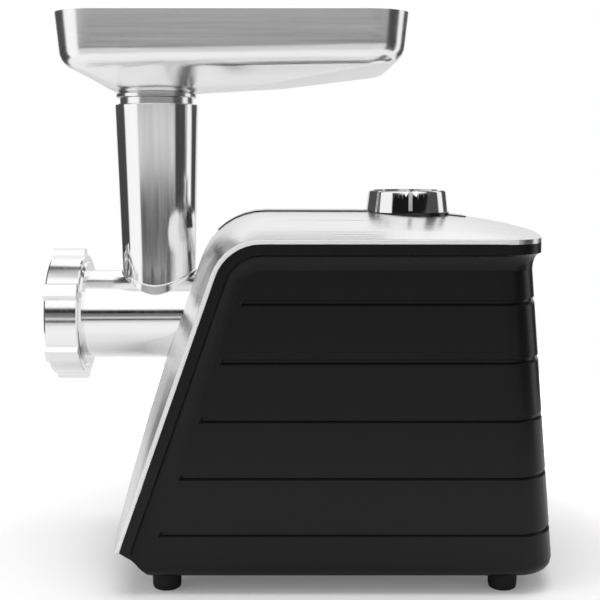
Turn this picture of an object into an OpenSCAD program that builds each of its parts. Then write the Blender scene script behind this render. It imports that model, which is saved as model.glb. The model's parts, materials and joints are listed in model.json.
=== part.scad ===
// Electric meat grinder: a crowned metal cover over two ribbed housing halves, with the motor, the gear
// train and a removable grinding head. Millimetres. +Z is up, the head points along -X, and the origin is
// on the table, at the middle of the machine's length and width.

/* [Body] */
// Width over the edges of the metal cover
body_w = 174; // [160:1:190]
// Height of the cover's side edges above the table
body_h = 217.4; // [206:0.2:232]
// Length from the cover's lower front edge to the rearmost point of the housing
body_len = 273; // [262:1:300]
// How far the front panel leans back from upright, in degrees
front_lean = 19.6; // [16:0.2:22]
// Bend radius of the cover's side edge, between the front panel and the top
bend_r = 31; // [24:1:38]
// Height of the cover's lower front edge
cover_z0 = 29; // [24:1:34]
// Thickness of the metal cover
cover_t = 2.8; // [2:0.2:3.4]
// How far the cover bulges at the middle of its width
crown = 12.6; // [10:0.2:18]
// Share of that bulge left at the cover's lower edge
low_crown = 0.5; // [0.3:0.05:1]
// How late the bulge dies out along the top: the power of its curve
rear_fade = 4.2; // [2:0.2:6]
// Radius of the upright rear corners
corner_r = 24; // [18:1:30]
// Radius of the shallow bow of the rear wall
bow_r = 360; // [250:10:600]
// How much the rear wall leans, in degrees
rear_draft = 5.2; // [2:0.2:7]
// Height of the plain band of the housing's rim, under the cover
flange_h = 6; // [5:0.5:9]
// Height of the hollow curve under that band
cove_h = 9.8; // [7:0.2:12]
// How far the rim stands out from the side panel
flange_out = 5; // [3:0.5:6]
// Wall thickness of the housing
wall = 3; // [2.4:0.2:3.6]
// Radius of the housing's lower edge
bottom_r = 8; // [6:0.5:10]

/* [Grooves] */
// Number of grooves on each side
groove_n = 5; // [3:1:5]
// Height of the lowest groove
groove_z0 = 39; // [36:0.5:42]
// Spacing of the grooves
groove_pitch = 35.2; // [33:0.2:35.2]
// Height of one groove
groove_h = 3.6; // [2.6:0.2:4.4]
// Depth of one groove
groove_d = 1.6; // [1:0.1:1.8]
// Distance from the cover's edge to where the grooves begin
groove_inset = 21.5; // [19:0.5:28]

/* [Base] */
// Height of the feet
foot_h = 11; // [8:0.5:14]
// Radius of a foot
foot_r = 9; // [7:0.5:11]
// Thickness of the base plate
base_t = 3; // [2.4:0.2:4]
// Distance between the feet across the machine
foot_gap_y = 130; // [116:1:134]
// Distance from the rearmost point to the rear feet's centres
foot_back = 36; // [32:1:44]
// Distance from the body's front to the front feet's centres
foot_front = 29; // [24:1:44]
// Diameter of the cord gland's opening
gland_d = 9; // [7:0.5:11]

/* [Knob] */
// Distance from the rearmost point to the knob's centre
knob_back = 92; // [84:1:98]
// Radius of the knob at its base
knob_r = 26.6; // [22:0.2:30]
// Radius of the knob at its top
knob_top_r = 24.8; // [20:0.2:28]
// Height of the chrome shell
knob_h = 13.6; // [11:0.2:18]
// Half width of the black strip along the top
strip_hw = 9; // [6:0.5:12]
// How far the strip stands above the cover
strip_t = 0.7; // [0.5:0.1:1.2]

/* [Head] */
// Depth of the auger's axis below the cover's side edges
axis_drop = 55.4; // [50:0.2:60]
// Distance from the front panel to the front of the ring nut
barrel_out = 83.2; // [78:0.2:100]
// Outer radius of the barrel
barrel_r = 28.6; // [27.6:0.2:31]
// Wall thickness of the barrel
barrel_t = 2.8; // [2.4:0.2:3.2]
// Outer radius of the barrel's threaded end
thread_r = 35; // [34:0.2:36]
// Radial clearance of parts that are taken out by hand
slip = 0.1; // [0.08:0.02:0.3]
// Radial clearance of a shaft that turns in its bush
running = 0.06; // [0.04:0.01:0.1]
// Length of the ring nut
nut_len = 21; // [19:0.2:24]
// Outer radius of the ring nut between its lugs
nut_r = 39.2; // [38.2:0.2:41]
// Height of the nut's lugs
lug_h = 3.6; // [2.5:0.1:4.5]
// Width of a lug
lug_w = 10; // [8:0.5:13]
// Number of lugs
lug_n = 6; // [4:1:8]
// Pitch of the nut's thread
thread_pitch = 3; // [2:0.5:3.5]
// Radius of the cutting plate
plate_r = 31; // [30:0.2:32]
// Thickness of the cutting plate
plate_t = 6; // [5:0.5:8]
// Radius of the holes in the plate
plate_hole_r = 2.25; // [1.5:0.05:2.4]
// Thickness of the knife
knife_t = 5.5; // [4.5:0.5:7]
// Pitch of the auger's flight
auger_pitch = 25; // [20:1:30]
// Distance of the feed tube's axis behind the ring nut's front
tube_back = 68.4; // [66:0.2:69]
// Outer radius of the feed tube at its top
tube_top_r = 26.6; // [25.6:0.2:28]
// Outer radius of the feed tube at the barrel
tube_low_r = 23.6; // [22:0.2:24]
// Wall thickness of the feed tube
tube_t = 2.2; // [1.8:0.2:2.6]
// Height of the feed tube's mouth above the auger's axis
tube_h = 136; // [120:1:150]

/* [Tray] */
// Length of the tray
tray_len = 208.6; // [196:0.2:226]
// Width of the tray
tray_w = 160; // [140:1:176]
// Distance from the tray's front end to the feed tube's axis
tray_front = 52.2; // [48:0.2:60]
// Height of the tray's rim above the feed tube's mouth
tray_rise = 51; // [46:1:60]
// Depth of the tray's upright wall
tray_wall = 20; // [16:1:22]
// Radius of the bend under the wall
tray_bend = 12; // [8:1:13]
// How much deeper the tray is at its front end than at its rear end
tray_slope = 3.5; // [0:0.5:5]
// Radius of the tray's corners in plan
tray_corner = 24; // [18:1:32]
// Thickness of the tray's sheet
tray_t = 1.2; // [1:0.1:1.6]
// Length of the tray's spigot inside the feed tube
spigot_len = 28; // [22:1:34]

/* [Drive] */
// Teeth of the motor's pinion
z_motor = 10; // [10:1:12]
// Teeth of the first gear
z_first = 50; // [48:1:52]
// Module of the first pair
m_first = 1; // [0.9:0.05:1.1]
// Teeth of the two middle pinions
z_pinion = 12; // [12:1:13]
// Teeth of the second gear
z_second = 48; // [46:1:50]
// Module of the second pair
m_second = 1.25; // [1.2:0.05:1.3]
// Teeth of the output gear
z_output = 42; // [40:1:43]
// Module of the output pair
m_output = 1.75; // [1.7:0.05:1.8]
// Swing of the second shaft away from the vertical, in degrees
swing_second = 38; // [34:1:42]
// Swing of the first shaft back towards the middle, in degrees
swing_first = 60; // [56:1:64]
// Radius of the motor's laminated core
stator_r = 37; // [34:0.5:40]
// Length of that core
stator_len = 48; // [42:1:54]

/* [Hidden] */
round_fn = 72;
e = 0.01; // overshoot of a cutter past the face that it cuts

// ---- the cover's edge line, seen from the side ----
lean_dir = [sin(front_lean), cos(front_lean)];
lean_out = [-cos(front_lean), sin(front_lean)];
function lean_x(z) = (z - cover_z0) * tan(front_lean);
axis_z = body_h - axis_drop;
panel_bulge = crown; // the bulge at the height of the barrel
overall_len = body_len - lean_x(axis_z) + panel_bulge / cos(front_lean) + barrel_out;
x_back = overall_len / 2;
x_front = x_back - body_len;
x_nut = -overall_len / 2;
bend_tangent = bend_r * tan((90 - front_lean) / 2);
bend_c = [x_front + lean_x(body_h) + bend_tangent, body_h - bend_r];
lean_len = (body_h - cover_z0) / cos(front_lean) - bend_tangent;
rim_h = cover_t + flange_h + cove_h;
z_panel = body_h - rim_h;
z_low = foot_h + bottom_r;
x_flange = x_back - tan(rear_draft) * (z_panel - z_low) + flange_out;
half_w = body_w / 2;
panel_hw = half_w - flange_out;

// ---- plan outline of the rear: an upright corner, then a shallow bow up to the middle ----
function corner_c(xm, hw) = let (reach = sqrt(pow(bow_r - corner_r, 2) - pow(hw - corner_r, 2)))
    [xm - bow_r + reach, corner_r - hw];
function bow_angle(hw) = asin((hw - corner_r) / (bow_r - corner_r));
corner_steps = 6;
bow_steps = 3;
function corner_pts(xm, hw, off) = let (c = corner_c(xm, hw), a1 = -bow_angle(hw))
    [for (i = [0:corner_steps]) let (a = -90 + (a1 + 90) * i / corner_steps)
        c + (corner_r - off) * [cos(a), sin(a)]];
function bow_pts(xm, hw, off) = let (a1 = bow_angle(hw))
    [for (i = [1:bow_steps]) let (a = -a1 * (1 - i / bow_steps))
        [xm - bow_r + (bow_r - off) * cos(a), (bow_r - off) * sin(a)]];
function rear_plan(xm, hw, off) = concat(corner_pts(xm, hw, off), bow_pts(xm, hw, off));

// ---- polyhedra from rings of points ----
function reversed(v) = [for (i = [len(v) - 1:-1:0]) v[i]];
// A solid through closed rings, with flat ends
module skin(rings) {
    n = len(rings[0]);
    m = len(rings);
    sides = [for (i = [0:m - 2], j = [0:n - 1]) let (a = i * n + j, b = i * n + (j + 1) % n)
        each [[a, a + n, b + n], [a, b + n, b]]];
    caps = [[for (j = [0:n - 1]) j], [for (j = [n - 1:-1:0]) (m - 1) * n + j]];
    polyhedron([for (r = rings) each r], concat(sides, caps), convexity = 8);
}
// A sheet between two grids of points with the same rows and columns
module sheet(outer, inner) {
    m = len(outer);
    n = len(outer[0]);
    q = m * n;
    top = [for (i = [0:m - 2], j = [0:n - 2]) let (a = i * n + j)
        each [[a, a + n + 1, a + n], [a, a + 1, a + n + 1]]];
    low = [for (f = top) [for (k = reversed(f)) k + q]];
    r = (m - 1) * n;
    edges = concat(
        [for (j = [0:n - 2]) each [[j + 1, j, j + q], [j + 1, j + q, j + 1 + q],
            [r + j, r + j + 1, r + j + 1 + q], [r + j, r + j + 1 + q, r + j + q]]],
        [for (i = [0:m - 2]) let (a = i * n, b = i * n + n - 1)
            each [[a, a + n, a + n + q], [a, a + n + q, a + q],
                [b + n, b, b + q], [b + n, b + q, b + n + q]]]);
    polyhedron([for (r = outer) each r, for (r = inner) each r], concat(top, low, edges), convexity = 8);
}
module along_x(x, z = axis_z, y = 0) { translate([x, y, z]) rotate([0, 90, 0]) children(); }
module ring(r_out, r_in, h) {
    difference() {
        cylinder(r = r_out, h = h, $fn = round_fn);
        translate([0, 0, -e]) cylinder(r = r_in, h = h + 2 * e, $fn = round_fn);
    }
}
module on_side(s) { if (s < 0) children(); else mirror([0, 1, 0]) children(); }

// ---- the crowned cover ----
lean_rows = 5;
bend_rows = 8;
top_rows = 12;
function bulge_low(z) = low_crown
    + (1 - low_crown) * sin(90 * min(1, (z - cover_z0) / (axis_z - 30 - cover_z0)));
function across(y) = 1 - pow(y / half_w, 2);
cover_cols = let (near = concat(corner_pts(x_flange, half_w, 0),
                 [for (y = [-46, -27, -strip_hw]) [x_flange - bow_r + sqrt(bow_r * bow_r - y * y), y]]))
             concat(near, [for (p = reversed(near)) [p[0], -p[1]]]);
function lean_pt(i, y, off) = let (p = [x_front, cover_z0] + lean_dir * lean_len * i / lean_rows,
    h = crown * bulge_low(p[1]) * across(y) - off,
    q = i == 0 ? p - [h / cos(front_lean), 0] : p + lean_out * h)
    [q[0], y, q[1]];
function bend_pt(i, y, off) = let (a = 180 - front_lean - (90 - front_lean) * i / bend_rows,
    q = bend_c + (bend_r + crown * across(y) - off) * [cos(a), sin(a)]) [q[0], y, q[1]];
function top_pt(i, col, off) = let (x = bend_c[0] + (col[0] - bend_c[0]) * i / top_rows,
    h = crown * across(col[1]) * (1 - pow(i / top_rows, rear_fade))) [x, col[1], body_h + h - off];
function cover_grid(off, cols = cover_cols) = concat(
    [for (i = [0:lean_rows]) [for (c = cols) lean_pt(i, c[1], off)]],
    [for (i = [1:bend_rows]) [for (c = cols) bend_pt(i, c[1], off)]],
    [for (i = [1:top_rows]) [for (c = cols) top_pt(i, c, off)]]);
// Length of a stud's screw: up to 2 mm short of the cover's inner face
function stud_screw_len(p) = min(screw_len, top_z(p[0], p[1]) - cover_t - p[2] - 2);
function top_z(x, y) = body_h
    + crown * across(y) * (1 - pow((x - bend_c[0]) / (x_flange - bend_c[0]), rear_fade));

knob_x = x_back - knob_back;
bezel_r = knob_r + 0.8;
bezel_hole_r = bezel_r + 0.2;
z_bezel = top_z(knob_x, 0) + 0.1; // the bezel's face lies level with the crown
knob_z = z_bezel + 0.3;
shaft_r = 4;
cover_post = [[bend_c[0] + 14, half_w - 24], [x_flange - corner_r - 10, half_w - 24]];
post_r = 4.5;
screw_r = 1.6;
tab_t = 3;
z_tab = z_panel - 4;
screw_len = 14;
switch_h = 22;
switch_w = 34;
z_switch = z_bezel - cover_t - switch_h;
z_ear = z_switch + switch_h - 4 - tab_t - 3;
ear_x = bezel_hole_r + post_r + 1.6;
// The cover's studs, each with the underside of the tab that it stands on
cover_studs = concat([for (p = cover_post, s = [-1, 1]) [p[0], s * p[1], z_tab]],
    [for (s = [-1, 1]) [knob_x + s * ear_x, 0, z_ear]]);
barrel_hole_r = barrel_r + slip + 0.4;
button_r = 8;
button_y = 52;
button_z = axis_z - 8;
button_hole_r = button_r + 0.3;

module top_cover() {
    color("silver") difference() {
        union() {
            sheet(cover_grid(0), cover_grid(cover_t));
            for (p = cover_studs) translate([p[0], p[1], p[2] + tab_t])
                cylinder(r = post_r, h = top_z(p[0], p[1]) - cover_t / 2 - p[2] - tab_t, $fn = 6);
        }
        along_x(x_front - 20) cylinder(r = barrel_hole_r, h = 100, $fn = round_fn);
        along_x(x_front - 20, button_z, button_y) cylinder(r = button_hole_r, h = 100, $fn = 48);
        translate([knob_x, 0, body_h - 20]) cylinder(r = bezel_hole_r, h = 60, $fn = 96);
        for (p = cover_studs) translate(p) cylinder(r = screw_r, h = stud_screw_len(p) + 0.5, $fn = 24);
    }
}

// The black strip along the crown, before and behind the knob
strip_cols = [for (s = [-1, 1]) [x_flange - bow_r + sqrt(bow_r * bow_r - strip_hw * strip_hw), s * strip_hw]];
strip_first = lean_rows + 3;
strip_last = lean_rows + bend_rows + top_rows - 3;
module control_strip() {
    lower = cover_grid(0, strip_cols);
    upper = cover_grid(-strip_t, strip_cols);
    color("black") difference() {
        sheet([for (i = [strip_first:strip_last]) upper[i]], [for (i = [strip_first:strip_last]) lower[i]]);
        translate([knob_x, 0, body_h - 20]) cylinder(r = bezel_hole_r, h = 60, $fn = 96);
    }
}

// ---- housing halves ----
// The rim's section, with a the distance in from the cover's face: how far its outer and inner sides lie
// inside the cover's edge
function rim_out(a) = let (t = max(0, a - cover_t - flange_h) / cove_h)
    (flange_out - seam) * sqrt(1 - pow(1 - t, 2));
function rim_in(a) = wall + (a - cover_t) / (rim_h - cover_t) * (flange_out - 0.6);
rim_steps = concat([0], [for (i = [0:5]) 1 - cos(18 * i) * cove_h / (flange_h + cove_h)]);
// One ring of the rim at the edge point p, cut off at the distance a0
function rim_ring(p, out, down, a0 = cover_t) = let (as = [for (t = rim_steps) a0 + (rim_h - a0) * t])
    concat([for (a = as) p + down * a - out * rim_out(a)],
        [for (a = [as[len(as) - 1], as[0]]) p + down * a - out * rim_in(a)]);
seam = 0.04; // keeps the rim a hair proud of the panel
function sweep_depth(z) = (sweep_x(z) - x_front - lean_x(z)) * cos(front_lean);
sweep_zs = [for (i = [5:-1:1]) z_low - 1 + (cover_z0 - z_low + 1) * (1 - i / 5)];
// The wall under the rim: where its front edge runs at each height
skirt_in = rim_h - 4; // the wall reaches this far up behind the rim
sweep_x0 = x_front + 1.7;
sweep_len = 21.5;
function sweep_x(z) = sweep_x0 + sweep_len * acos(2 * (z - foot_h) / (cover_z0 - foot_h) - 1) / 180;
function inset_x(z) = let (r = bend_r - skirt_in, c = bend_c)
    z > c[1] + r * sin(front_lean) ? c[0] - sqrt(max(0, r * r - pow(z - c[1], 2)))
    : x_front + lean_x(z) + skirt_in / cos(front_lean);
function wall_front(z) = z < cover_z0 ? max(sweep_x(z), inset_x(z)) : inset_x(z);
function groove_x(z) = max(x_front + lean_x(z) + groove_inset / cos(front_lean), wall_front(z) + 1);
function panel_x(z) = x_flange - flange_out + tan(rear_draft) * (z_panel - max(z, z_low));
// One ring of the wall at the height z, with its inset at the lower edge and the depth of a groove
function wall_ring(z, inset, cut) = let (xm = panel_x(z), hw = panel_hw, xf = wall_front(z), xg = groove_x(z),
    front = [[xf, inset - hw], [max(xf + 0.5, xg), inset - hw], [max(xf + 2, xg + 2), inset + cut - hw]],
    outer = concat(front, rear_plan(xm, hw, inset + cut)),
    inner = concat([[xf, inset + wall - hw]], rear_plan(xm, hw, inset + wall)))
    [for (p = concat(outer, reversed(inner))) [p[0], p[1], z]];
rim_rings = concat(
    [for (z = sweep_zs) rim_ring([x_front + lean_x(z), -half_w, z], [0, -1, 0], [1 / cos(front_lean), 0, 0],
        min(rim_h - 1, sweep_depth(z)))],
    [for (i = [0:lean_rows]) rim_ring(lean_pt(i, -half_w, 0), [0, -1, 0],
        i == 0 ? [1 / cos(front_lean), 0, 0] : [-lean_out[0], 0, -lean_out[1]])],
    [for (i = [1:bend_rows]) let (a = 180 - front_lean - (90 - front_lean) * i / bend_rows)
        rim_ring(bend_pt(i, -half_w, 0), [0, -1, 0], [-cos(a), 0, -sin(a)])],
    let (a1 = -bow_angle(half_w), pts = rear_plan(x_flange, half_w, 0))
    [for (i = [0:len(pts) - 1]) let (a = i <= corner_steps ? -90 + (a1 + 90) * i / corner_steps
            : a1 * (1 - (i - corner_steps) / bow_steps))
        rim_ring([pts[i][0], pts[i][1], body_h], [cos(a), sin(a), 0], [0, 0, -1])]);

low_steps = [for (i = [0:4]) let (a = 90 * i / 4)
    [foot_h + bottom_r * (1 - cos(a)), bottom_r * (1 - sin(a))]];
groove_levels = [for (g = [0:groove_n - 1]) let (z = groove_z0 + g * groove_pitch)
    each [[z - groove_h / 2, 0], [z - groove_h / 2 + 1.3, groove_d], [z + groove_h / 2 - 0.5, groove_d],
        [z + groove_h / 2, 0]]];
top_levels = let (r = bend_r - skirt_in) [for (a = [front_lean, 40, 65, 90]) bend_c[1] + r * sin(a)];
wall_rings = concat(
    [for (s = low_steps) wall_ring(s[0], s[1], 0)],
    [for (z = [(z_low + cover_z0) / 2, cover_z0]) wall_ring(z, 0, 0)],
    [for (g = groove_levels) wall_ring(g[0], 0, g[1])],
    [for (z = top_levels) if (z > groove_levels[len(groove_levels) - 1][0] + 1) wall_ring(z, 0, 0)]);

// Posts that take the base screws
base_z = foot_h;
plate_gap = 0.2;
head_r = 3.2;
base_post_y = panel_hw - bottom_r - wall - plate_gap - head_r - 1.2;
base_post = [[x_back - foot_back - 30, base_post_y], [x_front + 58, base_post_y]];
base_post_h = 24;
base_screw_len = 16;
module housing(s) {
    color([0.06, 0.06, 0.06]) on_side(s) difference() {
        union() {
            resize([0, 0, 0]) { // changes no size: it only joins the two into one shell
                skin(wall_rings);
                skin(rim_rings);
            }
            for (p = cover_post) translate([p[0], -p[1], z_tab]) {
                cylinder(r = post_r + 1, h = tab_t, $fn = 32);
                translate([-post_r - 1, p[1] - panel_hw + wall / 2, 0])
                    cube([2 * post_r + 2, panel_hw - p[1] - wall / 2, tab_t]);
            }
            for (p = base_post) translate([p[0], -p[1], base_z + base_t]) {
                cylinder(r = post_r, h = base_post_h, $fn = 32);
                translate([-1.5, p[1] - panel_hw + wall - 0.8, 0])
                    cube([3, panel_hw - p[1] - wall + 0.8, base_post_h]);
            }
        }
        for (p = cover_post) translate([p[0], -p[1], z_tab - e])
            cylinder(r = screw_r + 0.2, h = tab_t + 1, $fn = 24);
        for (p = base_post) translate([p[0], -p[1], base_z])
            cylinder(r = screw_r, h = base_screw_len + 3, $fn = 24);
        along_x(x_back - 30, gland_z) cylinder(r = gland_r, h = 60, $fn = 48);
    }
}
gland_z = 58;
gland_r = gland_d / 2 + 3;
module housing_right() { housing(-1); }
module housing_left() { housing(1); }

// ---- base plate, feet and screws ----
foot_x = [x_back - foot_back, x_front + foot_front];
lip_t = 2.4;
plate_x0 = sweep_x(foot_h) + 1.5;
function base_outline(off) = let (near = rear_plan(panel_x(foot_h), panel_hw, off))
    concat([[plate_x0, off - panel_hw]], near,
        [for (p = reversed([for (i = [0:len(near) - 2]) near[i]])) [p[0], -p[1]]],
        [[plate_x0, panel_hw - off]]);
// The lip closes the front below the cover. It bows forward with the cover's lower edge
lip_steps = concat(low_steps, [for (z = [(z_low + cover_z0) / 2, cover_z0 - 0.4]) [z, 0]]);
lip_spots = [-1, -0.85, -0.6, -0.2, 0.2, 0.6, 0.85, 1];
function lip_ring(s) = let (z = s[0], deep = sweep_depth(z) + lip_t + 0.4,
    hw = half_w - (deep < rim_h ? rim_in(deep) + 0.4 : flange_out + wall) - plate_gap - s[1],
    bulge = 0.4 + crown * low_crown / cos(front_lean) * pow((z - foot_h) / (cover_z0 - foot_h), 2),
    x0 = sweep_x(z), x1 = z < foot_h + base_t ? plate_x0 + 2 : x0 + lip_t)
    concat([for (t = reversed(lip_spots)) [x0 - bulge * (1 - t * t), hw * t, z]],
        [for (t = lip_spots) [x1 - bulge * (1 - t * t), hw * t, z]]);
module base_plate() {
    color([0.08, 0.08, 0.08]) difference() {
        union() {
            translate([0, 0, base_z]) linear_extrude(base_t)
                polygon(base_outline(bottom_r + wall + plate_gap));
            skin([for (s = lip_steps) lip_ring(s)]);
            for (p = concat(case_feet, [damper_foot])) translate([p[0] - p[2] / 2, p[1] - 6, base_z])
                cube([p[2], 12, p[3] - base_z]);
            for (x = board_x, y = board_y) translate([x, y, base_z])
                cylinder(r = 3.4, h = board_z - base_z, $fn = 32);
        }
        for (x = foot_x, s = [-1, 1]) translate([x, s * foot_gap_y / 2, base_z - e])
            cylinder(r = foot_stem_r, h = base_t + 1, $fn = 32);
        for (p = base_post, s = [-1, 1]) translate([p[0], s * p[1], base_z - e]) {
            cylinder(r = screw_r + 0.2, h = base_t + 1, $fn = 24);
            cylinder(r = head_r + 0.2, h = 1.4 + e, $fn = 32);
        }
        for (p = case_feet) translate([p[0], p[1], p[3] - 12]) cylinder(r = screw_r, h = 20, $fn = 24);
        for (x = board_x, y = board_y) translate([x, y, board_z - 6]) cylinder(r = 1.2, h = 10, $fn = 24);
        for (i = [0:vent_n - 1], s = [-1, 1])
            translate([motor_x0 + 6 + vent_pitch * i, s * 34 - 12, base_z - 1])
                cube([vent_w, 24, base_t + 2]);
    }
}
foot_stem_r = 3.5;
vent_n = 8;
vent_w = 3;
vent_pitch = 8;
module feet() {
    z_in = foot_h + base_t;
    pad = [[0, 0], [foot_r - 1.6, 0], [foot_r - 0.6, 0.8], [foot_r - 0.2, 2.4], [foot_r, foot_h]];
    barb = [[foot_stem_r, foot_h], [foot_stem_r, z_in], [foot_stem_r + 1.4, z_in],
        [foot_stem_r - 0.4, z_in + 2.6], [0, z_in + 2.6]];
    color([0.03, 0.03, 0.03]) for (x = foot_x, s = [-1, 1]) translate([x, s * foot_gap_y / 2, 0])
        rotate_extrude($fn = round_fn) polygon(concat(pad, barb));
}
// A pan-head screw that points up from its head's underside at the origin
module screw(r, len, hr, hh) {
    translate([0, 0, -hh]) cylinder(r = hr, h = hh, $fn = 32);
    translate([0, 0, -e]) cylinder(r = r, h = len + e, $fn = 24);
}
module base_screws() {
    color("silver") for (p = base_post, s = [-1, 1]) translate([p[0], s * p[1], base_z + 1.4])
        screw(screw_r, base_screw_len, head_r, 1.3);
}
module cover_screws() {
    color("silver") for (p = cover_studs) translate(p) screw(screw_r, stud_screw_len(p), head_r, 1.6);
}
module cord_gland() {
    gx = panel_x(gland_z);
    color([0.03, 0.03, 0.03]) along_x(gx - wall - 5, gland_z) difference() {
        union() {
            cylinder(r = gland_r, h = wall + 5, $fn = 48);
            cylinder(r = gland_r + 2, h = 3.6, $fn = 48);
        }
        translate([0, 0, -e]) cylinder(r = gland_d / 2, h = wall + 10, $fn = 48);
    }
}

// ---- knob and switch ----
module knob_shell() {
    ht = knob_h;
    color([0.8, 0.8, 0.82]) difference() {
        translate([knob_x, 0, knob_z]) rotate_extrude($fn = 96) polygon([
            [shaft_r + 0.02, 3], [knob_r - 2.4, 3], [knob_r - 2.4, 0], [knob_r, 0],
            [knob_top_r + 0.3, ht - 1], [knob_top_r - 0.5, ht], [knob_top_r - 1.6, ht],
            [knob_top_r - 2.4, ht - 0.9], [8, ht - 1.3], [0, ht - 1.3], [0, ht - shaft_top],
            [shaft_r + 0.02, ht - shaft_top]]);
        translate([knob_x - pointer_w / 2 - 0.05, -knob_r - 1, knob_z + 1.4])
            cube([pointer_w + 0.1, 1 + knob_r - knob_top_r + 1.8, ht]);
    }
}
pointer_w = 2.4;
shaft_top = 4; // how far the shaft ends below the top of the knob
module knob_pointer() {
    color("white") translate([knob_x - pointer_w / 2, -knob_top_r, knob_z + 1.4])
        cube([pointer_w, 1.8, knob_h - 2.6]);
}
// The black disc under the knob, let into the cover and standing on the switch
module knob_bezel() {
    color([0.02, 0.02, 0.02]) translate([knob_x, 0, z_bezel - cover_t])
        ring(bezel_r, shaft_r + 0.4, cover_t);
}
module switch_shaft() {
    color("dimgray") translate([knob_x, 0, z_switch + 4])
        cylinder(r = shaft_r, h = knob_z + knob_h - shaft_top - z_switch - 4, $fn = 48);
}
module rotary_switch() {
    color([0.15, 0.15, 0.16]) difference() {
        union() {
            translate([knob_x - switch_w / 2, -strip_hw, z_switch])
                cube([switch_w, 2 * strip_hw, switch_h]);
            translate([knob_x - switch_w / 2, -switch_w / 2, z_switch])
                cube([switch_w, switch_w, switch_h - 4]);
            for (i = [-1, 0, 1]) translate([knob_x - 1 + i * 10, -switch_w / 2 - 5, z_switch + 5])
                cube([2, 6, 5]);
            translate([knob_x - ear_x - post_r, -post_r, z_ear])
                cube([2 * ear_x + 2 * post_r, 2 * post_r, tab_t]);
        }
        for (s = [-1, 1]) translate([knob_x + s * ear_x, 0, z_ear - 1])
            cylinder(r = screw_r + 0.2, h = tab_t + 2, $fn = 24);
        translate([knob_x, 0, z_switch + 4 - 0.1]) cylinder(r = shaft_r + running, h = switch_h, $fn = 48);
    }
}

// ---- electronics on the base plate ----
board_t = 1.6;
board_z = base_z + base_t + 6;
board_x0 = plate_x0 + lip_t + 10;
board_x = [board_x0, board_x0 + 20];
board_y = [-24, 24];
board_rim = 4;
module control_board() {
    color([0.1, 0.35, 0.15]) translate([0, 0, board_z]) difference() {
        translate([board_x[0] - board_rim, board_y[0] - board_rim, 0])
            cube([board_x[1] - board_x[0] + 2 * board_rim, board_y[1] - board_y[0] + 2 * board_rim, board_t]);
        for (x = board_x, y = board_y) translate([x, y, -1]) cylinder(r = 1.5, h = 5, $fn = 24);
    }
}
module board_screws() {
    color("silver") for (x = board_x, y = board_y) translate([x, y, board_z + board_t])
        rotate([180, 0, 0]) screw(1.2, 6, 2.6, 1.4);
}
module capacitor() {
    color([0.75, 0.65, 0.2]) translate([(board_x[0] + board_x[1]) / 2 - 8, -12, board_z + board_t])
        cube([16, 24, 13]);
}

// ---- gear train ----
pressure = 25;
tip_share = 0.85;
root_share = 1.1;
tooth_play = 0.1; // thinning of each tooth, in modules
function involute(r, rb) = r <= rb ? 0 : let (t = acos(rb / r)) tan(t) * 180 / PI - t;
// Outline of a spur gear, with a tooth centred on the angle phase
function gear_outline(z, m, phase) = let (rp = z * m / 2, rb = rp * cos(pressure), rr = rp - root_share * m,
    rt = rp + tip_share * m, half = 90 / z - tooth_play / 2 * m / rp * 180 / PI + involute(rp, rb),
    rads = [rr, max(rr + 0.02, rb), rp, (rp + rt) / 2, rt])
    [for (k = [0:z - 1], s = [-1, 1], i = [0:4]) let (r = rads[s < 0 ? i : 4 - i],
        a = phase + k * 360 / z + s * (half - involute(r, rb))) r * [cos(a), sin(a)]];
// A gear on the X axis at (y, z) = p: tooth angles are measured from +Y towards +Z
module gear(p, x, w, z, m, phase) {
    translate([x, p[0], p[1]]) rotate([90, 0, 90]) linear_extrude(w) polygon(gear_outline(z, m, phase));
}
function heading(a, b) = atan2(b[1] - a[1], b[0] - a[0]);
c_first = (z_motor + z_first) * m_first / 2;
c_second = (z_pinion + z_second) * m_second / 2;
c_output = (z_pinion + z_output) * m_output / 2;
p_output = [0, axis_z];
p_second = p_output + c_output * [sin(swing_second), -cos(swing_second)];
p_first = p_second + c_second * [-sin(swing_first), -cos(swing_first)];
p_motor = p_first + [-p_first[0], -sqrt(c_first * c_first - p_first[0] * p_first[0])];
function gap_phase(z, a) = a + 180 / z; // a gap, not a tooth, points along the angle a

case_t = 4;
x_case = x_front + lean_x(axis_z) + 20;
x_in = x_case + case_t;
bush_len = 10;
x_c = x_case + bush_len + 1.4;
w_c = 12;
x_b = x_c + w_c + 1.8;
w_b = 10;
x_a = x_b + w_b + 1.8;
w_a = 8;
x_lid = x_a + w_a + 1.8;
lid_t = 4;
lid_boss = 4;
x_shaft_end = x_lid + lid_t + lid_boss - 1.5;
motor_x0 = x_lid + lid_t + lid_boss + 2;
x_stator = motor_x0 + 27;
out_r = 11;
out_bush_r = 15;
out_tail_r = 6;
mid_r = 4;
mid_bush_r = 6.5;
case_gap = 2.4;
tip_output = (z_output / 2 + tip_share) * m_output + case_gap;
tip_second = (z_second / 2 + tip_share) * m_second + case_gap;
z_case_low = p_motor[1] - (z_motor / 2 + 1) * m_first - case_gap;

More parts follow.
